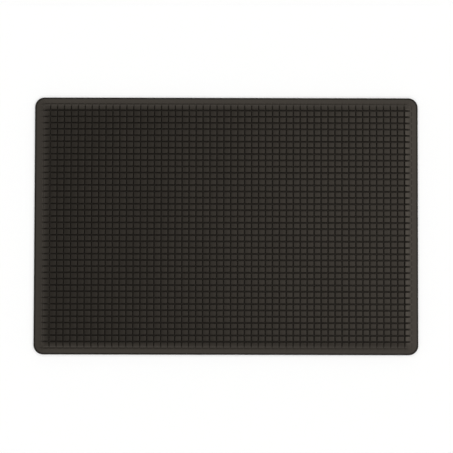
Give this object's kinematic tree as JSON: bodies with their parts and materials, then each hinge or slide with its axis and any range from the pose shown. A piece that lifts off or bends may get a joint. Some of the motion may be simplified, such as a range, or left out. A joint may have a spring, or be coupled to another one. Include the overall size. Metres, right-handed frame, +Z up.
{
  "type": "door mat",
  "caption": "Rectangular moulded rubber door mat with a grid of small scraper pads, a bevelled border and a studded underside.",
  "frame": {"origin": "middle of the underside, on the floor that the mat lies on", "axes": "+X along the mat's length, +Y across its width, +Z up out of the scraper pads"},
  "size_m": [0.6, 0.402, 0.008],
  "materials": {
    "tread_rubber": "satin moulded rubber",
    "ply_fabric": "plain-woven cotton-polyester insertion, rubber-coated",
    "base_rubber": "matte rubber with a fine cloth imprint"
  },
  "bodies": {
    "root": {"tread_sheet": "tread_rubber", "reinforcing_ply": "ply_fabric", "base_sheet": "base_rubber"}
  },
  "joints": []
}
